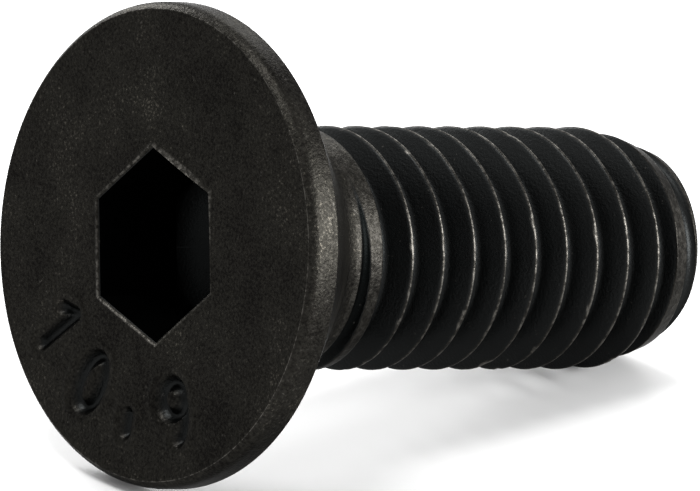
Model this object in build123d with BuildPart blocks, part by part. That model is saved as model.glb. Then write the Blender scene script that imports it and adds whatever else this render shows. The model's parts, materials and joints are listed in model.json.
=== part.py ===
from build123d import *
from math import atan2, ceil, cos, degrees, floor, radians, sin, tan
import os

# Countersunk socket screw, M6 coarse, cold headed and thread rolled in one piece.
# It is modelled upright first: the head's face is at the origin and +Z runs down the shank to the tip.
# Azimuths are turned about +Z from +X. The finished screw is then laid down as it comes to rest.

# ---- head (mm and degrees) ----
head_dia = 11.79              # widest, at the back edge of the land
land_length = 0.79            # narrow rim between the face and the cone
land_draft = 8.1              # the land narrows towards the face
face_edge_break = 0.07
seat_angle = 90.0             # full angle of the countersunk seat
seat_edge_break = 0.03
neck_radius = 0.6             # fillet from the seat into the shank

# ---- shank and thread ----
length = 15.5                 # over all, from the face to the tip
thread_dia = 5.96
pitch = 1.0
thread_angle = 60.0
crest_share = 1 / 8           # crest flat, as a share of the pitch
root_share = 1 / 6            # root flat, as a share of the pitch
crest_height = 5.752          # a crest crosses azimuth 0 this far from the face
full_depth_azimuth = 110.0    # where the groove reaches full depth beside the neck
run_out_sweep = 130.0         # the groove fades out over this angle
run_out_clearance = 0.02      # the faded cutter ends this far outside the shank
tip_chamfer = 1.65            # length of the lead-in
tip_dia = 4.92

# ---- hexagon socket ----
socket_across_flats = 4.08
socket_depth = 2.5            # to the end of the flats
socket_floor_angle = 120.0    # full angle of the conical floor
socket_edge_break = 0.05
socket_azimuth = -1.3         # a pair of corners is turned this far from square to azimuth 0

# ---- how it came to rest ----
rolled_to = 14.8              # azimuth 0 points this far above the level, on the -Y side

# ---- worked out ----
head_radius = head_dia / 2
thread_radius = thread_dia / 2
face_radius = head_radius - land_length * tan(radians(land_draft))
seat_length = (head_radius - thread_radius) / tan(radians(seat_angle / 2))
neck_start = land_length + seat_length
chamfer_start = length - tip_chamfer

flank_slope = tan(radians(thread_angle / 2))
root_half_width = root_share * pitch / 2
groove_half_width = (1 - crest_share) * pitch / 2
groove_depth = (groove_half_width - root_half_width) / flank_slope
root_radius = thread_radius - groove_depth
# The cutter stands clear of the crest by a share of the crest flat, so its turns stay apart.
cutter_overhang = crest_share * pitch / 2

# The groove lies midway between two crests. Where it reaches full depth, its near edge has just
# cleared the neck fillet.
neck_end = neck_start + neck_radius * tan(radians(seat_angle / 4))
groove_lead = full_depth_azimuth / 360 - 1 / 2
turns_to_neck = floor((crest_height - groove_half_width - neck_end) / pitch + groove_lead)
groove_start = crest_height + (groove_lead - turns_to_neck) * pitch
groove_turns = ceil((length + pitch - groove_start) / pitch)
run_out_rise = groove_depth + run_out_clearance
run_out_length = pitch * run_out_sweep / 360
run_out_angle = degrees(atan2(run_out_rise, run_out_length))


def radial_plane(azimuth):
    """Plane through the axis: its X points outward at this azimuth and its Y runs to the tip."""
    outward = Vector(1, 0, 0).rotate(Axis.Z, azimuth)
    return Plane(origin=(0, 0, 0), x_dir=outward, z_dir=outward.cross(Vector(0, 0, 1)))


def groove_section(azimuth, height):
    """Section of the thread groove: two flanks with a narrow flat root between them."""
    mouth_radius = thread_radius + cutter_overhang
    mouth_half_width = groove_half_width + cutter_overhang * flank_slope
    with BuildSketch(radial_plane(azimuth)) as section:
        with BuildLine():
            Polyline(
                (mouth_radius, height - mouth_half_width),
                (root_radius, height - root_half_width),
                (root_radius, height + root_half_width),
                (mouth_radius, height + mouth_half_width),
                close=True,
            )
        make_face()
    return section.sketch


def turned_edge(blank, height):
    """The blank's circular edge nearest this height."""
    circles = blank.edges().filter_by(GeomType.CIRCLE)
    return min(circles, key=lambda edge: abs(edge.center().Z - height))


# ---- turned blank: head, land, countersunk seat, neck and shank ----
with BuildPart() as upright:
    with BuildSketch(Plane.XZ):
        with BuildLine():
            Polyline(
                (0, 0),
                (face_radius, 0),
                (head_radius, land_length),
                (thread_radius, neck_start),
                (thread_radius, length),
                (0, length),
                close=True,
            )
        make_face()
    revolve(axis=Axis.Z)
    fillet(turned_edge(upright, neck_start), neck_radius)
    chamfer(turned_edge(upright, land_length), seat_edge_break)
    chamfer(turned_edge(upright, 0), face_edge_break)

# ---- right-hand thread groove: one turn, from full depth beside the neck ----
with BuildPart() as groove_turn:
    with BuildLine() as groove_path:
        Helix(pitch, pitch, root_radius, center=(0, 0, groove_start))
    groove_helix = groove_path.line.rotate(Axis.Z, full_depth_azimuth)
    add(groove_section(full_depth_azimuth, groove_start))
    sweep(path=groove_helix.edge(), is_frenet=True)

# ---- run-out: the same section climbs out of the shank as it nears the neck ----
with BuildPart() as run_out:
    with BuildLine() as run_out_path:
        Helix(
            pitch / cos(radians(run_out_angle)),
            run_out_length,
            root_radius,
            center=(0, 0, groove_start),
            direction=(0, 0, -1),
            cone_angle=run_out_angle,
        )
    # a helix that runs towards -Z starts at azimuth 180
    run_out_helix = run_out_path.line.rotate(Axis.Z, full_depth_azimuth - 180)
    with BuildLine() as guide:
        Line((0, 0, groove_start), (0, 0, groove_start - run_out_length))
    add(groove_section(full_depth_azimuth, groove_start))
    sweep(path=run_out_helix.edge(), binormal=guide.edge())

with BuildPart() as threaded:
    add(upright.part)
    # each turn follows on from the one before it, and the last one runs off the tip
    for turn in range(groove_turns):
        add(groove_turn.part.moved(Location((0, 0, turn * pitch))), mode=Mode.SUBTRACT)
    add(run_out.part, mode=Mode.SUBTRACT)

    # lead-in chamfer at the tip, turned off the threaded end
    lead_slope = (thread_radius - tip_dia / 2) / tip_chamfer
    with BuildSketch(Plane.XZ):
        with BuildLine():
            Polyline(
                (thread_radius + pitch * lead_slope, chamfer_start - pitch),
                (thread_radius + pitch, chamfer_start - pitch),
                (thread_radius + pitch, length + pitch),
                (tip_dia / 2 - pitch * lead_slope, length + pitch),
                close=True,
            )
        make_face()
    revolve(axis=Axis.Z, mode=Mode.SUBTRACT)

    # hexagon socket, its broken mouth edge and its conical floor
    socket_turn = 90 + socket_azimuth
    with BuildSketch(Plane.XY):
        RegularPolygon(socket_across_flats / 2, 6, major_radius=False, rotation=socket_turn)
    extrude(amount=socket_depth, mode=Mode.SUBTRACT)
    mouth_apothem = socket_across_flats / 2 + socket_edge_break
    with BuildSketch(Plane.XY):
        RegularPolygon(mouth_apothem, 6, major_radius=False, rotation=socket_turn)
    extrude(amount=socket_edge_break, taper=45, mode=Mode.SUBTRACT)
    floor_drop = socket_across_flats / 2 / tan(radians(socket_floor_angle / 2))
    with BuildSketch(Plane.XZ):
        with BuildLine():
            Polyline(
                (0, socket_depth),
                (socket_across_flats / 2, socket_depth),
                (0, socket_depth + floor_drop),
                close=True,
            )
        make_face()
    revolve(axis=Axis.Z, mode=Mode.SUBTRACT)

# ---- laid down: it rests on the back edge of the land and on the last full crest ----
resting_tilt = degrees(atan2(head_radius - thread_radius, chamfer_start - land_length))
along_shank = Vector(cos(radians(resting_tilt)), 0, -sin(radians(resting_tilt)))
level_side = Vector(0, -1, 0)
upper_side = level_side.cross(along_shank)
towards_azimuth_0 = level_side * cos(radians(rolled_to)) + upper_side * sin(radians(rolled_to))
lying = Plane(origin=(0, 0, 0), x_dir=towards_azimuth_0, z_dir=along_shank)
lain = threaded.part.moved(lying.location)
lain_box = lain.bounding_box()
# the origin is on the floor, under the middle of the screw
underneath = Vector(lain_box.center().X, lain_box.center().Y, lain_box.min.Z)

with BuildPart() as countersunk_socket_screw:
    add(lain.moved(Location(-underneath)))

countersunk_socket_screw.part.label = "countersunk_socket_screw"
os.makedirs("parts", exist_ok=True)
export_step(countersunk_socket_screw.part, "parts/countersunk_socket_screw.step")
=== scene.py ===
import json
import math

import bmesh
import bpy
import numpy as np
from mathutils import Matrix, Vector


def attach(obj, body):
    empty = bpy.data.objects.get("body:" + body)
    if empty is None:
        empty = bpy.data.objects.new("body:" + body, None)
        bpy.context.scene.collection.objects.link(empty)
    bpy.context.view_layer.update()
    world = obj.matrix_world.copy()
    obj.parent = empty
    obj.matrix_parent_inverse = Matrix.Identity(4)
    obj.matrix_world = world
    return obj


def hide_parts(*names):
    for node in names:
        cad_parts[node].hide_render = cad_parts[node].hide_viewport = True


# Countersunk socket screw, M6 coarse, black oxide on cold-headed and thread-rolled steel.
# It is shaped upright first, in millimetres: the head's face is at the origin and +Z runs to the tip.
# Azimuths turn about +Z from +X. One matrix then lays the finished meshes where the frame's screw lies.

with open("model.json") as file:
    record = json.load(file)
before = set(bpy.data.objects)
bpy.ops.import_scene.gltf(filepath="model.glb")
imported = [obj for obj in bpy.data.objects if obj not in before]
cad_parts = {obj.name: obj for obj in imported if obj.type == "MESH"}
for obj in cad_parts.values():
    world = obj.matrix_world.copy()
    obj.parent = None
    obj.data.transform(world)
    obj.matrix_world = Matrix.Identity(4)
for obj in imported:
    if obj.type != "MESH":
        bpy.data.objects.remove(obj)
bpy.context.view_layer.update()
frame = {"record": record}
NODE = "countersunk_socket_screw"
STEEL = "black oxide steel"
MM = 0.001

# ---- head, in millimetres and degrees ----
HEAD_RADIUS = 5.895           # widest, at the back edge of the land
LAND_LENGTH = 0.79            # narrow rim between the face and the seat
FACE_LINE_RADIUS = 5.719      # where the flat face ends
FACE_LINE_ROUND = 0.03
ROLL_LENGTH = 0.42            # the headed edge rolls over into the land this far from the face
ROLL_POWER = 3.2              # and levels out this soon
SEAT_EDGE_ROUND = 0.03
NECK_FILLET = 0.6             # from the 90 degree seat into the shank
HEAD_SHIFT = 0.063            # the die set the head this far off the shank, towards azimuth -90

# ---- hexagon socket ----
SOCKET_FLATS = 4.08
SOCKET_DEPTH = 2.5            # to the end of the flats
SOCKET_FLOOR_ANGLE = 120.0    # full angle of the conical floor
SOCKET_EDGE_BREAK = 0.05
SOCKET_AZIMUTH = -1.3         # a pair of corners is turned this far from square to azimuth 0
WEAR_AND_GLINT_SIDE = -60              # wear from keys, laid strongest here and opposite as a painted highlight
LEAST_WEAR_AND_GLINT = 0.3             # the mouth's wear and painted highlight in between
BURR_SIDE = -61               # the punch has drawn a low burr up on this flat of the mouth
BURR_POWER = 8                # which keeps the burr to the one flat

# ---- shank and thread ----
LENGTH = 15.5                 # over all, from the face to the tip
CREST_RADIUS = 2.98
ROOT_RADIUS = 2.372
ROOT_ROUND = 0.19             # radius of the rounded root, seen in section
FLANK_ANGLE = math.radians(30)
PITCH = 1.0
CREST_HEIGHT = 5.752          # a crest crosses azimuth 0 this far from the face
TIP_CHAMFER = 1.65            # length of the lead-in
TIP_RADIUS = 2.46
RUN_OUT_FROM = 4.044          # the groove starts as a scratch this far from the face
RUN_OUT_TO = 4.558            # and reaches full depth here

# ---- how it came to rest ----
ROLLED_TO = 14.8              # azimuth 0 points this far above the level, on the -Y side

# ---- worked out ----
NECK_START = LAND_LENGTH + HEAD_RADIUS - CREST_RADIUS
NECK_END = NECK_START + NECK_FILLET * math.tan(math.radians(22.5))


def lying_matrix():
    """From the upright screw in millimetres to the frame in metres, read from the head face mount."""
    face = next(m for m in frame["record"]["mounts"] if m["name"] == "head_face")
    along = -Vector(face["axis"]).normalized()
    level = Vector((0, -1, 0))
    upper = level.cross(along)
    turn = math.radians(ROLLED_TO)
    azimuth_0 = level * math.cos(turn) + upper * math.sin(turn)
    azimuth_90 = along.cross(azimuth_0)
    axes = Matrix((azimuth_0, azimuth_90, along)).transposed().to_4x4()
    return Matrix.Translation(face["pos_m"]) @ axes @ Matrix.Scale(MM, 4)


LIE = lying_matrix()


# ---- small tools ----
SAME_POINT = 1e-5             # points of an upright mesh this close are one
SHARP_EDGE = 40               # edges that turn more than this many degrees stay sharp


def add_node(tree, kind, settings=None, **links):
    """Adds a node, applies its settings and fills its inputs with values or sockets.

    An input is given by its name, or as _0, _1 and so on by its number.
    """
    node = tree.nodes.new(kind)
    for name, value in (settings or {}).items():
        setattr(node, name, value)
    for name, value in links.items():
        key = int(name[1:]) if name[0] == "_" else name.replace("_", " ")
        socket = node.inputs[key]
        if isinstance(value, bpy.types.NodeSocket):
            tree.links.new(value, socket)
        else:
            socket.default_value = value
    return node


def smooth_step(share):
    """Eases a share from 0 to 1, level at both ends."""
    return share * share * (3 - 2 * share)


def close_open_ends(mesh):
    """Caps the loops left open and turns all faces outwards."""
    shell = bmesh.new()
    shell.from_mesh(mesh)
    bmesh.ops.dissolve_degenerate(shell, dist=SAME_POINT, edges=shell.edges)
    rims = [edge for edge in shell.edges if edge.is_boundary]
    bmesh.ops.holes_fill(shell, edges=rims, sides=0)
    bmesh.ops.recalc_face_normals(shell, faces=shell.faces)
    shell.to_mesh(mesh)
    shell.free()


def place(name, mesh):
    """Links an upright mesh as a finished piece, laid down in the frame."""
    mesh.transform(LIE)
    mesh.name = name
    piece = bpy.data.objects.new(name, mesh)
    bpy.context.scene.collection.objects.link(piece)
    mesh.shade_smooth()
    mesh.set_sharp_from_angle(angle=math.radians(SHARP_EDGE))
    return piece


# ---- rolled thread: a strip one pitch wide that winds round the shank ----
TURN_SEGMENTS = 120
PITCH_SEGMENTS = 40
FIRST_TURN = -3               # this crest lies wholly under the neck
TURNS = 13
SEAM_GAP = 0.0008             # the strip's edges meet closer than this and are merged

# the tree's inputs, in millimetres where they are lengths
THREAD_SIZES = {
    "Pitch": PITCH, "Crest Radius": CREST_RADIUS, "Root Radius": ROOT_RADIUS, "Root Round": ROOT_ROUND,
    "Crest Height": CREST_HEIGHT, "Neck End": NECK_END, "Length": LENGTH,
    "Tip Radius": TIP_RADIUS, "Tip Chamfer": TIP_CHAMFER,
    # the groove deepens slowly at first, and before it starts it stands clear of the shank
    "Run-out From": RUN_OUT_FROM, "Run-out To": RUN_OUT_TO,
    "Run-out Power": 2.4, "Run-out Clearance": 0.01,
    # how widely edges are softened, and how much of that the lead-in chamfer's edge gets
    "Edge Softness": 0.1, "Tip Share": 0.4,
    # crests grow sharp past this height, over this much, and the chamfer blunts them by this depth
    "Sharp From": 5.0, "Sharp Over": 0.5, "Blunted By": 0.15,
    # dents where the noise is high: their size along the crest, depth, seed, threshold and range
    "Nick Spacing": 0.5, "Nick Depth": 0.04, "Nick Seed": 7.0, "Nick From": 0.57, "Nick Over": 0.14,
    # wear reaches this far below the crest and fades over this
    # a wide crest has a little, and a sharp one this much more
    "Wear Reach": 0.009, "Wear Fade": 0.006, "Wide Wear": 0.15, "Sharp Wear": 0.85,
    # painted shade: the groove is painted darker from this far below the edge, over this much, to this
    # and in the scratch where the groove starts, darker by this
    "Skin From": 0.003, "Skin Over": 0.02, "Groove Skin": 2.0, "Scratch Skin": 1.2,
}

# Each row is a result's name, a sum, and what it works on: an input, an earlier result or a number.
# A result whose name ends in "share" is held between 0 and 1.
THREAD_SUMS = (
    ("turns", "ADD", "X", TURNS / 2),
    ("across", "ADD", "Y", 0.5),
    # height along the screw, held between the neck and the tip
    ("climbed", "ADD", "turns", "across"),
    ("above first crest", "MULTIPLY_ADD", "climbed", "Pitch", "Crest Height"),
    ("free height", "MULTIPLY_ADD", "Pitch", FIRST_TURN, "above first crest"),
    ("clear of neck", "MAXIMUM", "free height", "Neck End"),
    ("height", "MINIMUM", "clear of neck", "Length"),
    # distance from the middle of the groove that passes here
    ("above crest", "SUBTRACT", "height", "Crest Height"),
    ("pitches", "DIVIDE", "above crest", "Pitch"),
    ("crest count", "SUBTRACT", "pitches", "turns"),
    ("groove count", "FLOOR", "crest count"),
    ("between crests", "SUBTRACT", "crest count", "groove count"),
    ("off middle", "SUBTRACT", "between crests", 0.5),
    ("distance in pitches", "ABSOLUTE", "off middle"),
    ("distance", "MULTIPLY", "distance in pitches", "Pitch"),
    # groove section: a round root between two straight flanks
    ("round squared", "MULTIPLY", "Root Round", "Root Round"),
    ("distance squared", "MULTIPLY", "distance", "distance"),
    ("chord squared", "SUBTRACT", "round squared", "distance squared"),
    ("chord squared in root", "MAXIMUM", "chord squared", 0.0),
    ("chord", "SQRT", "chord squared in root"),
    ("root centre", "ADD", "Root Radius", "Root Round"),
    ("root", "SUBTRACT", "root centre", "chord"),
    ("flanks meet", "SUBTRACT", "Root Radius", "Root Round"),
    ("flank", "MULTIPLY_ADD", "distance", 1 / math.tan(FLANK_ANGLE), "flanks meet"),
    ("root half width", "MULTIPLY", "Root Round", math.cos(FLANK_ANGLE)),
    ("on flank", "GREATER_THAN", "distance", "root half width"),
    ("flank over root", "SUBTRACT", "flank", "root"),
    ("groove", "MULTIPLY_ADD", "flank over root", "on flank", "root"),
    # beside the neck the groove fades out along its own helix
    ("groove turns", "ADD", "groove count", "turns"),
    ("groove middle turns", "ADD", "groove turns", 0.5),
    ("groove middle", "MULTIPLY_ADD", "groove middle turns", "Pitch", "Crest Height"),
    ("past start", "SUBTRACT", "groove middle", "Run-out From"),
    ("run-out length", "SUBTRACT", "Run-out To", "Run-out From"),
    ("run-out share", "DIVIDE", "past start", "run-out length"),
    ("depth share", "POWER", "run-out share", "Run-out Power"),
    ("missing depth", "SUBTRACT", 1.0, "depth share"),
    ("full depth", "SUBTRACT", "Crest Radius", "Root Radius"),
    ("clear depth", "ADD", "full depth", "Run-out Clearance"),
    ("faded groove", "MULTIPLY_ADD", "clear depth", "missing depth", "groove"),
    # crest and lead-in chamfer, each met with a soft edge
    ("depth root", "SQRT", "depth share"),
    ("crest softness", "MULTIPLY", "Edge Softness", "depth root"),
    ("threaded", "SMOOTH_MIN", "faded groove", "Crest Radius", "crest softness"),
    ("chamfer rise", "SUBTRACT", "Crest Radius", "Tip Radius"),
    ("chamfer slope", "DIVIDE", "chamfer rise", "Tip Chamfer"),
    ("from tip", "SUBTRACT", "Length", "height"),
    ("cone", "MULTIPLY_ADD", "from tip", "chamfer slope", "Tip Radius"),
    ("tip softness", "MULTIPLY", "Edge Softness", "Tip Share"),
    ("radius", "SMOOTH_MIN", "threaded", "cone", "tip softness"),
    ("blank", "MINIMUM", "Crest Radius", "cone"),
    ("depth", "SUBTRACT", "blank", "radius"),
    # wound round the axis
    ("angle", "MULTIPLY", "turns", 2 * math.pi),
    ("cosine", "COSINE", "angle"),
    ("sine", "SINE", "angle"),
    ("wound x", "MULTIPLY", "radius", "cosine"),
    ("wound y", "MULTIPLY", "radius", "sine"),
    # how sharp the crest is here: not beside the neck, where it is wide, nor on the lead-in chamfer
    ("crest turn", "ROUND", "crest count"),
    ("crest turns", "ADD", "crest turn", "turns"),
    ("crest middle", "MULTIPLY_ADD", "crest turns", "Pitch", "Crest Height"),
    ("beyond first", "SUBTRACT", "crest middle", "Sharp From"),
    ("beyond first share", "DIVIDE", "beyond first", "Sharp Over"),
    ("chamfered", "SUBTRACT", "Crest Radius", "cone"),
    ("chamfered share", "DIVIDE", "chamfered", "Blunted By"),
    ("not chamfered", "SUBTRACT", 1.0, "chamfered share"),
    ("sharp", "MULTIPLY", "beyond first share", "not chamfered"),
    # painted shade: the groove is painted darker below its edge, darkest where it starts as a scratch
    ("below edge", "SUBTRACT", "depth", "Skin From"),
    ("settled share", "DIVIDE", "below edge", "Skin Over"),
    ("thickest", "MULTIPLY_ADD", "missing depth", "Scratch Skin", "Groove Skin"),
    ("thick", "MULTIPLY", "settled share", "thickest"),
    # sharp crests have been knocked flat in places, against other screws, where the noise is high
    ("nick scale", "DIVIDE", 1.0, "Nick Spacing"),
    ("over threshold", "SUBTRACT", "knocks", "Nick From"),
    ("knocked share", "DIVIDE", "over threshold", "Nick Over"),
    ("knocked", "MULTIPLY", "knocked share", "Nick Depth"),
    ("nick", "MULTIPLY", "knocked", "sharp"),
    ("dented crest", "SUBTRACT", "blank", "nick"),
    ("dented radius", "MINIMUM", "radius", "dented crest"),
    ("left", "DIVIDE", "dented radius", "radius"),
    # worn: full on the sharp crests and their dents, a little on the first wide one
    ("below crest", "SUBTRACT", "dented crest", "dented radius"),
    ("off edge", "SUBTRACT", "Wear Reach", "below crest"),
    ("crest share", "DIVIDE", "off edge", "Wear Fade"),
    ("wear", "MULTIPLY_ADD", "sharp", "Sharp Wear", "Wide Wear"),
    ("worn", "MULTIPLY", "crest share", "wear"),
)


def thread_tree():
    """Geometry Nodes: a grid whose X is turns and whose Y is one pitch, wound into a thread."""
    tree = bpy.data.node_groups.new("rolled thread", "GeometryNodeTree")
    for name in THREAD_SIZES:
        tree.interface.new_socket(name, in_out="INPUT", socket_type="NodeSocketFloat")
    tree.interface.new_socket("Geometry", in_out="OUTPUT", socket_type="NodeSocketGeometry")
    sizes = add_node(tree, "NodeGroupInput").outputs
    grid = add_node(
        tree, "GeometryNodeMeshGrid", None, Size_X=float(TURNS), Size_Y=1.0,
        Vertices_X=TURNS * TURN_SEGMENTS + 1, Vertices_Y=PITCH_SEGMENTS + 1,
    )
    position = add_node(tree, "GeometryNodeInputPosition").outputs[0]
    flat = add_node(tree, "ShaderNodeSeparateXYZ", None, Vector=position).outputs
    knocks = add_node(
        tree, "ShaderNodeTexNoise", {"noise_dimensions": "4D"},
        W=sizes["Nick Seed"], Detail=2.0, Roughness=0.6,
    )
    made = {"X": flat["X"], "Y": flat["Y"], "knocks": knocks.outputs[0]}
    made.update({name: sizes[name] for name in THREAD_SIZES})
    for name, operation, *operands in THREAD_SUMS:
        settings = {"operation": operation, "use_clamp": name.endswith("share")}
        values = {f"_{i}": made.get(operand, operand) for i, operand in enumerate(operands)}
        made[name] = add_node(tree, "ShaderNodeMath", settings, **values).outputs[0]

    wound = add_node(
        tree, "ShaderNodeCombineXYZ", None, X=made["wound x"], Y=made["wound y"], Z=made["height"])
    tree.links.new(wound.outputs[0], knocks.inputs["Vector"])
    tree.links.new(made["nick scale"], knocks.inputs["Scale"])
    narrowed = add_node(tree, "ShaderNodeCombineXYZ", None, X=made["left"], Y=made["left"], Z=1.0)
    surface = add_node(
        tree, "ShaderNodeVectorMath", {"operation": "MULTIPLY"},
        _0=wound.outputs[0], _1=narrowed.outputs[0],
    )
    geometry = grid.outputs["Mesh"]
    for name in ("worn", "thick"):
        stored = add_node(
            tree, "GeometryNodeStoreNamedAttribute", {"data_type": "FLOAT", "domain": "POINT"},
            Geometry=geometry, Name=name, Value=made[name],
        )
        geometry = stored.outputs[0]
    moved = add_node(
        tree, "GeometryNodeSetPosition", None, Geometry=geometry, Position=surface.outputs[0])
    merged = add_node(
        tree, "GeometryNodeMergeByDistance", None, Geometry=moved.outputs[0], Distance=SEAM_GAP)
    realized = add_node(tree, "GeometryNodeRealizeInstances", None, Geometry=merged.outputs[0])
    finished = add_node(
        tree, "GeometryNodeSetMaterial", None,
        Geometry=realized.outputs[0], Material=bpy.data.materials[STEEL],
    )
    add_node(tree, "NodeGroupOutput", None, Geometry=finished.outputs[0])
    return tree


def make_thread():
    """The threaded shank from the neck to the tip, as one plain mesh."""
    carrier = bpy.data.objects.new("thread carrier", bpy.data.meshes.new("thread carrier"))
    bpy.context.scene.collection.objects.link(carrier)
    modifier = carrier.modifiers.new("thread", "NODES")
    modifier.node_group = thread_tree()
    for item in modifier.node_group.interface.items_tree:
        if item.in_out == "INPUT":
            modifier[item.identifier] = THREAD_SIZES[item.name]
    bpy.context.view_layer.update()
    evaluated = carrier.evaluated_get(bpy.context.evaluated_depsgraph_get())
    mesh = bpy.data.meshes.new_from_object(evaluated)
    bpy.data.objects.remove(carrier)
    close_open_ends(mesh)
    return place("threaded_shank", mesh)


# ---- stamped figures on the face: plain digits, one stroke wide ----
MARK_RADIUS = 4.08            # middle of the figures, from the axis
STROKE_HALF = 0.14
STAMP_DEPTH = 0.26
STAMP_SOFTNESS = 0.12         # half the width of a stroke's sloping wall
SWELL_HEIGHT = 0.02           # the metal pushed up beside a stroke
SWELL_OFFSET = 0.40           # from the stroke's middle
SWELL_WIDTH = 0.09            # to each side of its ridge


def arc(centre_x, centre_y, radius_x, radius_y, start, end, count=20):
    """Points on an ellipse's arc, in degrees."""
    angles = [math.radians(start + (end - start) * i / count) for i in range(count + 1)]
    return [(centre_x + radius_x * math.cos(a), centre_y + radius_y * math.sin(a)) for a in angles]


# strokes in a figure's own millimetres: x along the reading direction, y up
FIGURES = {
    "1": [[(-0.30, 0.40), (0.05, 0.70), (0.05, -0.72)]],
    "0": [arc(0, 0, 0.38, 0.70, 0, 360)],
    "point": [[(0.0, -0.15), (0.0, -0.55)]],
    "9": [arc(0, 0.30, 0.38, 0.40, 0, 360), arc(-0.02, 0.10, 0.40, 0.82, 8, -75)],
}
# each figure and its angle on the face, from the right and anticlockwise as one looks at it
MARKS = (("1", 208.8), ("0", 234.4), ("point", 256.5), ("9", 279.8))


def stroke_distance(points):
    """Distance from each face point to the middle of the nearest stroke."""
    nearest = np.full(len(points), np.inf)
    for figure, angle in MARKS:
        turn = math.radians(angle)
        outward = np.array((math.cos(turn), math.sin(turn)))
        reading = np.array((-outward[1], outward[0]))
        local = points - MARK_RADIUS * outward
        local = np.stack((local @ reading, -(local @ outward)), axis=1)
        for stroke in FIGURES[figure]:
            for start, end in zip(stroke[:-1], stroke[1:]):
                start, run = np.array(start), np.array(end) - np.array(start)
                share = np.clip((local - start) @ run / (run @ run), 0.0, 1.0)
                gap = np.linalg.norm(local - start - share[:, None] * run, axis=1)
                nearest = np.minimum(nearest, gap)
    return nearest


def stamp_depth(points):
    """How far the stamping pushed the face in, with a low swell beside each stroke."""
    gap = stroke_distance(points)
    share = np.clip((STROKE_HALF + STAMP_SOFTNESS - gap) / (2 * STAMP_SOFTNESS), 0.0, 1.0)
    swell = SWELL_HEIGHT * np.exp(-(((gap - SWELL_OFFSET) / SWELL_WIDTH) ** 2))
    return STAMP_DEPTH * smooth_step(share) - swell


# ---- head: rings from the socket's floor out over the face and down to the neck ----
# A ring is its radius, its height, how worn its skin is and how much painted shade it has.
# Each of these is one number, or one for every azimuth.
HEAD_SEGMENTS = 576
# painted shade, laid all through the socket
SOCKET_PAINTED_SHADE = 2.6
FLOOR_SHARES = (0.02, 0.25, 0.5, 0.75, 1.0)          # from the axis to the flats
WALL_SHARES = (0.0, 0.5, 0.9, 0.985, 1.0)            # from the floor to the broken edge
# Each ring of the mouth is how far outward and how deep it lies, in edge breaks, and how worn it is.
# Beside it is what the burr adds to each; the wear it adds is partly a painted highlight on the burr's
# flat.
MOUTH_RINGS = (
    ((0.5, 0.5, 0.1), (0.0, 0.0, 0.0)),
    ((0.95, 0.0, 0.9), (0.0, 0.0, 0.0)),
    ((1.3, -0.3, 1.0), (0.0, -1.1, 0.0)),
    ((2.2, 0.0, 0.0), (0.9, 0.0, 0.9)),
)
MARKS_FROM, MARKS_TO = 3.0, 5.2                      # the figures lie between these radii
MARK_STEP = 0.04              # between the rings that carry them
ROUNDING_SHARES = np.linspace(0.12, 1.0, 8)          # from the mouth's hexagon to the first of them
STAMP_PAINTED_SHADE = 2.2              # painted shade, darkest down in the figures
STAMP_SHADE_GAIN = 1.3         # it is full before the stamp is at its deepest
AFTER_MARKS = (0.1, 0.25)     # plain rings this far outside the figures
BEFORE_EDGE = (0.12, 0.03)    # and this far inside the face's edge
FACE_EDGE_WEAR = (0.1, 0.6, 0.9, 0.6, 0.1)
LAND_WEAR = 0.05
LEAVING_SHARE = 0.1           # the face's edge is rounded towards this point of the roll
ROLL_SHARES = (0.12, 0.22, 0.34, 0.48, 0.64, 0.82, 1.0)   # points of the roll, to the land


def hexagon_radius(azimuths):
    """The socket's wall, from the axis, at each azimuth. Corners lie at 90 degrees plus the turn."""
    side = (azimuths - math.radians(90 + SOCKET_AZIMUTH)) % math.radians(60) - math.radians(30)
    return SOCKET_FLATS / 2 / np.cos(side)


def socket_rings(wall):
    """The conical floor and the flat walls, up to the mouth's broken edge."""
    apothem = SOCKET_FLATS / 2
    floor_slope = 1 / math.tan(math.radians(SOCKET_FLOOR_ANGLE / 2))
    # painted shade: the socket's floor and walls are painted near black
    rings = []
    for share in FLOOR_SHARES:
        height = SOCKET_DEPTH + apothem * (1 - share) * floor_slope
        rings.append((apothem * share, height, 0.0, SOCKET_PAINTED_SHADE))
    for share in WALL_SHARES:
        height = SOCKET_DEPTH + (SOCKET_EDGE_BREAK - SOCKET_DEPTH) * share
        rings.append((wall, height, 0.0, SOCKET_PAINTED_SHADE))
    return rings


def mouth_rings(wall, azimuths):
    """The broken edge, the low lip outside it and the burr, with wear from keys that is made strongest
    on two opposite sides as a painted highlight.
    """
    # painted highlight: the keys' wear is made strongest at this azimuth and opposite, where light
    # catches the mouth
    wear_and_glint = LEAST_WEAR_AND_GLINT + (1 - LEAST_WEAR_AND_GLINT) * np.cos(azimuths - math.radians(WEAR_AND_GLINT_SIDE)) ** 2
    burr = np.clip(np.cos(azimuths - math.radians(BURR_SIDE)), 0.0, 1.0) ** BURR_POWER
    rings = []
    for plain, added in MOUTH_RINGS:
        outward, drop, wear = (value + more * burr for value, more in zip(plain, added))
        radius = wall * (1 + outward * SOCKET_EDGE_BREAK / (SOCKET_FLATS / 2))
        rings.append((radius, drop * SOCKET_EDGE_BREAK, wear * wear_and_glint, 0.0))
    return rings


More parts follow.
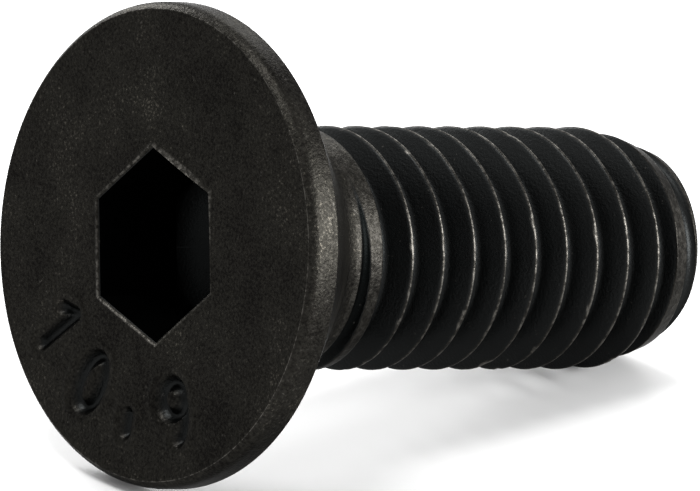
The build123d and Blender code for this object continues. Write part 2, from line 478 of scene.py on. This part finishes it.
def face_rings(mouth, azimuths, edge_radius):
    """The face: from the mouth's hexagon to round, then over the figures and out to the edge."""
    rings = []
    for share in ROUNDING_SHARES:
        roundness = smooth_step(share)
        hexagon = (1 - roundness) * mouth * MARKS_FROM / mouth.max()
        rings.append(((1 - share) * mouth + share * (hexagon + roundness * MARKS_FROM), 0.0, 0.0, 0.0))
    for radius in np.arange(MARKS_FROM + MARK_STEP, MARKS_TO, MARK_STEP):
        points = np.stack((radius * np.cos(azimuths), -radius * np.sin(azimuths)), axis=1)
        depth = stamp_depth(points)
        # painted shade: the figures are painted darker as they deepen
        skin = STAMP_PAINTED_SHADE * np.clip(STAMP_SHADE_GAIN * depth / STAMP_DEPTH, 0.0, 1.0)
        rings.append((radius, depth, 0.0, skin))
    plain = [MARKS_TO + gap for gap in AFTER_MARKS] + [edge_radius - gap for gap in BEFORE_EDGE]
    return rings + [(radius, 0.0, 0.0, 0.0) for radius in plain]


def round_corner(corner, before, after, radius, count):
    """Points of the arc that rounds a corner of the head's outline."""
    corner, before, after = Vector(corner), Vector(before), Vector(after)
    back, ahead = (before - corner).normalized(), (after - corner).normalized()
    half = back.angle(ahead) / 2
    centre = corner + (back + ahead).normalized() * radius / math.sin(half)
    first = corner + back * radius / math.tan(half) - centre
    last = corner + ahead * radius / math.tan(half) - centre
    return [centre + radius * first.slerp(last, i / count) for i in range(count + 1)]


def land_point(share):
    """A point on the headed edge, which leaves the face steeply and rolls over into the land."""
    widening = (HEAD_RADIUS - FACE_LINE_RADIUS) * (1 - (1 - share) ** ROLL_POWER)
    return (FACE_LINE_RADIUS + widening, ROLL_LENGTH * share)


def head_outline():
    """(radius, height) points from the face's edge to the neck."""
    rolled = [land_point(share) for share in ROLL_SHARES]
    face_edge = (FACE_LINE_RADIUS, 0.0)
    seat_edge = (HEAD_RADIUS, LAND_LENGTH)
    neck = (CREST_RADIUS, NECK_START)
    outline = round_corner(face_edge, (0, 0), land_point(LEAVING_SHARE), FACE_LINE_ROUND, count=4)
    outline += [Vector(point) for point in rolled]
    outline += round_corner(seat_edge, rolled[-1], neck, SEAT_EDGE_ROUND, count=4)
    outline += round_corner(neck, seat_edge, (CREST_RADIUS, LENGTH), NECK_FILLET, count=12)
    return outline


def outer_rings(outline):
    """The face's edge, the land, the seat and the neck, closed off inside the shank."""
    rings = []
    for index, (radius, height) in enumerate(outline):
        on_edge = index < len(FACE_EDGE_WEAR)
        wear = FACE_EDGE_WEAR[index] if on_edge else LAND_WEAR * (height < LAND_LENGTH)
        rings.append((radius, height, wear, 0.0))
    rings.append((CREST_RADIUS / 2, NECK_END, 0.0, 0.0))
    return rings


def make_head():
    """Head with its socket, stamped face, land, seat and neck fillet."""
    first_corner = math.radians(90 + SOCKET_AZIMUTH)
    azimuths = first_corner + 2 * math.pi * np.arange(HEAD_SEGMENTS) / HEAD_SEGMENTS
    wall = hexagon_radius(azimuths)
    socket = socket_rings(wall)
    mouth = mouth_rings(wall, azimuths)
    outline = head_outline()
    face = face_rings(mouth[-1][0], azimuths, outline[0][0])
    rings = socket + mouth + face + outer_rings(outline)
    table = np.array([[np.broadcast_to(value, azimuths.shape) for value in ring] for ring in rings])
    radii, heights, worn, thick = table.transpose(1, 0, 2)

    # the shift fades out down the seat, but the socket keeps it to its floor
    shift = HEAD_SHIFT * (1 - smooth_step(np.clip(heights / NECK_START, 0.0, 1.0)))
    shift[:len(socket)] = HEAD_SHIFT
    xs, ys = radii * np.cos(azimuths), radii * np.sin(azimuths) - shift
    vertices = np.stack((xs, ys, heights), axis=2).reshape(-1, 3)
    faces = []
    for ring in range(len(rings) - 1):
        here, there = ring * HEAD_SEGMENTS, (ring + 1) * HEAD_SEGMENTS
        for i in range(HEAD_SEGMENTS):
            j = (i + 1) % HEAD_SEGMENTS
            faces.append((here + i, here + j, there + j, there + i))
    mesh = bpy.data.meshes.new("head")
    mesh.from_pydata(vertices.tolist(), [], faces)
    for name, values in (("worn", worn), ("thick", thick)):
        attribute = mesh.attributes.new(name, "FLOAT", "POINT")
        attribute.data.foreach_set("value", values.reshape(-1).astype(np.float32))
    close_open_ends(mesh)
    mesh.materials.append(bpy.data.materials[STEEL])
    return place("head", mesh)


# ---- black oxide ----
# each noise: the size of its features in millimetres, its detail and its roughness
GRAIN = (0.07, 2.0, 0.6)      # the steel's own grain is finer: it is drawn this coarse so that it shows
CLOUD = (2.4, 4.0, 0.6)       # uneven blotches from the bath
SPECKS = (0.16, 2.0, 0.7)     # where the skin is rubbed through
GRAIN_DEPTH = 0.0145          # millimetres
CLOUD_SHARE, GRAIN_SHARE = 0.6, 0.85
SHADE_STOPS = (0.32, 0.66, 0.78)
OPEN_SHADES = ("#0e0d0c", "#22211e", "#47443e")      # pits, skin and light grains on open faces
PAINTED_SHADE_TONES = ("#121211", "#232220", "#3c3933")   # the same, painted darker as shade in the hollows
PAINTED_SHADE_BLACKS = ((1.0, "#1c1d1d"), (2.0, "#060707"))        # painted shade: past this level the colour goes over to this
BARE_STEEL = "#4f4d49"        # a thin dark film is left on it
GLANCING_TINT = "#c4c4c4"


def linear(code):
    """An sRGB hex colour as linear RGBA."""
    channels = [int(code[i:i + 2], 16) / 255 for i in (1, 3, 5)]
    return [c / 12.92 if c <= 0.04045 else ((c + 0.055) / 1.055) ** 2.4 for c in channels] + [1.0]


def per_metre(size_mm):
    """Noise scale on Object coordinates in metres, for features of this size."""
    return 1000.0 / size_mm


def oxide_colour_and_shade(tree, grain, cloud, thick):
    """The unworn skin: mottled by grain and cloud, and blackened with painted shade down in the
    hollows.
    """
    # the two noises keep a middle of one half
    middle = (1 - CLOUD_SHARE - GRAIN_SHARE) / 2
    clouded = add_node(
        tree, "ShaderNodeMath", {"operation": "MULTIPLY_ADD"}, _0=cloud, _1=CLOUD_SHARE, _2=middle)
    mottled = add_node(
        tree, "ShaderNodeMath", {"operation": "MULTIPLY_ADD"},
        _0=grain, _1=GRAIN_SHARE, _2=clouded.outputs[0],
    )
    skins = []
    for shades in (OPEN_SHADES, PAINTED_SHADE_TONES):
        ramp = add_node(tree, "ShaderNodeValToRGB", None, Fac=mottled.outputs[0])
        first, last = ramp.color_ramp.elements
        first.position, last.position = SHADE_STOPS[:2]
        first.color, last.color = linear(shades[0]), linear(shades[1])
        ramp.color_ramp.elements.new(SHADE_STOPS[2]).color = linear(shades[2])
        skins.append(ramp.outputs[0])
    # painted shade: the skin darkens to the second tones, then to the blacks, as the painted shade
    # rises
    skin = add_node(tree, "ShaderNodeMix", {"data_type": "RGBA"}, _0=thick, _6=skins[0], _7=skins[1])
    for shade_level, black in PAINTED_SHADE_BLACKS:
        past = add_node(
            tree, "ShaderNodeMath", {"operation": "SUBTRACT", "use_clamp": True},
            _0=thick, _1=shade_level,
        )
        skin = add_node(
            tree, "ShaderNodeMix", {"data_type": "RGBA"},
            _0=past.outputs[0], _6=skin.outputs[2], _7=linear(black),
        )
    return skin.outputs[2]


def black_oxide():
    """Black oxide: hot alkaline blackening turns the steel's skin to magnetite, then it is oiled.

    It is a dark warm grey, satin rather than glossy, with the fine grain of the steel under it.
    Down in the grooves, the figures and the socket, the skin is painted blacker as shade, and blackest
    in the scratch where the thread starts. Handling has rubbed the edges and crests, where the
    steel shows through in specks, and has left a few flecks elsewhere.
    """
    material = bpy.data.materials.new(STEEL)
    material.use_nodes = True
    tree = material.node_tree
    tree.nodes.clear()
    where = add_node(tree, "ShaderNodeTexCoord").outputs["Object"]
    grain, cloud, specks = (
        add_node(
            tree, "ShaderNodeTexNoise", None,
            Vector=where, Scale=per_metre(size), Detail=detail, Roughness=roughness,
        ).outputs["Fac"]
        for size, detail, roughness in (GRAIN, CLOUD, SPECKS)
    )
    worn, thick = (
        add_node(
            tree, "ShaderNodeAttribute", {"attribute_name": name, "attribute_type": "GEOMETRY"},
        ).outputs["Fac"]
        for name in ("worn", "thick")
    )
    # wear bares a fifth of the steel around the specks and all of it in them
    # a few flecks are bare without wear
    bared = add_node(
        tree, "ShaderNodeMapRange", None,
        Value=specks, From_Min=0.44, From_Max=0.62, To_Min=0.2, To_Max=1.5,
    )
    fleck = add_node(
        tree, "ShaderNodeMapRange", None, Value=specks, From_Min=0.69, From_Max=0.77, To_Max=0.4)
    rubbed = add_node(
        tree, "ShaderNodeMath", {"operation": "MULTIPLY_ADD", "use_clamp": True},
        _0=worn, _1=bared.outputs[0], _2=fleck.outputs[0],
    )
    colour = add_node(
        tree, "ShaderNodeMix", {"data_type": "RGBA"},
        _0=rubbed.outputs[0], _6=oxide_colour_and_shade(tree, grain, cloud, thick), _7=linear(BARE_STEEL),
    )
    rough = add_node(
        tree, "ShaderNodeMapRange", None,
        Value=cloud, From_Min=0.3, From_Max=0.7, To_Min=0.36, To_Max=0.46,
    )
    # where painted shade is laid, the grain's bump is flattened a little
    flattened_in_shade = add_node(
        tree, "ShaderNodeMapRange", None, Value=thick, From_Max=2.0, To_Min=1.0, To_Max=0.6)
    bump = add_node(
        tree, "ShaderNodeBump", None,
        Height=grain, Strength=flattened_in_shade.outputs[0], Distance=GRAIN_DEPTH * MM,
    )
    shader = add_node(
        tree, "ShaderNodeBsdfPrincipled", None,
        Base_Color=colour.outputs[2], Metallic=1.0, Roughness=rough.outputs[0],
        Specular_Tint=linear(GLANCING_TINT), Normal=bump.outputs[0],
    )
    add_node(tree, "ShaderNodeOutputMaterial", None, Surface=shader.outputs[0])


# ---- studio ----
VIEW_TURN = 48.86             # degrees between the head's axis and the line of sight
DISTANCE = 540.0              # camera to the head's face, in millimetres
PIXELS_PER_MM = 41.386        # at that distance
IMAGE = (700, 491)            # the render's size in pixels
FACE_CENTRE = (153.03, 247.9)                        # the head's face in it, from its top left
FLOOR_REACH = 0.6             # metres to each side
FLOOR_COLOUR = "#d0d0d0"
WHITE = "#ffffff"
ROOM_LIGHT = 0.8              # of the white room, on matt surfaces
LAMP_DISTANCE = 0.3           # metres from the screw
# each soft box: the way to it from the screw, its side in metres and its radiance
LAMPS = {
    "right box": ((0.52, -0.845, 0.11), 0.24, 20.0),
    "back right box": ((0.66, 0.53, 0.52), 0.12, 10.0),
    "left box": ((0.144, 0.891, 0.415), 0.10, 34.0),
    "top box": ((-0.202, 0.085, 0.976), 0.10, 20.0),
    "tip box": ((0.957, -0.239, 0.063), 0.14, 3.5),
}


def make_camera():
    """A long lens ahead of the face, turned from the head's axis towards azimuth 0."""
    turn = math.radians(VIEW_TURN)
    axes = LIE.to_3x3().normalized()
    azimuth_0, along = axes.col[0], axes.col[2]
    back = azimuth_0 * math.sin(turn) - along * math.cos(turn)
    right = azimuth_0 * math.cos(turn) + along * math.sin(turn)
    up = back.cross(right)
    offset_x = (FACE_CENTRE[0] - IMAGE[0] / 2) / PIXELS_PER_MM
    offset_y = (IMAGE[1] / 2 - FACE_CENTRE[1]) / PIXELS_PER_MM
    eye = LIE.translation + (back * DISTANCE - right * offset_x - up * offset_y) * MM
    data = bpy.data.cameras.new("camera")
    data.sensor_width = 36.0
    data.lens = PIXELS_PER_MM * DISTANCE * data.sensor_width / IMAGE[0]
    data.clip_start, data.clip_end = 0.01, 10.0
    camera = bpy.data.objects.new("camera", data)
    camera.matrix_world = Matrix.Translation(eye) @ Matrix((right, up, back)).transposed().to_4x4()
    bpy.context.scene.collection.objects.link(camera)
    bpy.context.scene.camera = camera


def make_floor():
    """A pale floor that shows white and keeps the shadow."""
    mesh = bpy.data.meshes.new("floor")
    corners = [(x * FLOOR_REACH, y * FLOOR_REACH, 0) for x, y in ((-1, -1), (1, -1), (1, 1), (-1, 1))]
    mesh.from_pydata(corners, [], [(0, 1, 2, 3)])
    floor = bpy.data.objects.new("floor", mesh)
    bpy.context.scene.collection.objects.link(floor)
    material = bpy.data.materials.new("pale floor")
    material.use_nodes = True
    tree = material.node_tree
    tree.nodes.clear()
    matt = add_node(
        tree, "ShaderNodeBsdfPrincipled", None, Base_Color=linear(FLOOR_COLOUR), Roughness=0.9)
    add_node(tree, "ShaderNodeOutputMaterial", None, Surface=matt.outputs[0])
    mesh.materials.append(material)


def make_lamp(name, direction, size, radiance):
    """A square soft box that looks at the screw."""
    data = bpy.data.lights.new(name, "AREA")
    data.shape, data.size, data.energy = "SQUARE", size, radiance * math.pi * size * size
    lamp = bpy.data.objects.new(name, data)
    direction = Vector(direction).normalized()
    facing = direction.to_track_quat("Z", "Y").to_matrix().to_4x4()
    lamp.matrix_world = Matrix.Translation(direction * LAMP_DISTANCE) @ facing
    bpy.context.scene.collection.objects.link(lamp)


def make_room():
    """A white room, white to the eye and in reflections, and a little dimmer on matt surfaces."""
    world = bpy.data.worlds.new("studio")
    bpy.context.scene.world = world
    world.use_nodes = True
    tree = world.node_tree
    tree.nodes.clear()
    path = add_node(tree, "ShaderNodeLightPath").outputs
    seen = path["Is Camera Ray"]
    for kind in ("Is Glossy Ray", "Is Transmission Ray"):
        seen = add_node(
            tree, "ShaderNodeMath", {"operation": "MAXIMUM"}, _0=seen, _1=path[kind]).outputs[0]
    soft = add_node(tree, "ShaderNodeBackground", None, Color=linear(WHITE), Strength=ROOM_LIGHT)
    white = add_node(tree, "ShaderNodeBackground", None, Color=linear(WHITE), Strength=1.0)
    shown = add_node(
        tree, "ShaderNodeMixShader", None, _0=seen, _1=soft.outputs[0], _2=white.outputs[0])
    add_node(tree, "ShaderNodeOutputWorld", None, Surface=shown.outputs[0])


def make_studio():
    """Camera, floor, white room and soft boxes: right, back right, left, above and past the tip."""
    make_camera()
    make_floor()
    for name, (direction, size, radiance) in LAMPS.items():
        make_lamp(name, direction, size, radiance)
    make_room()
    bpy.context.scene.view_settings.view_transform = "Standard"


black_oxide()
make_studio()
for piece in (make_head(), make_thread()):
    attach(piece, "root")
    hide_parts(NODE)
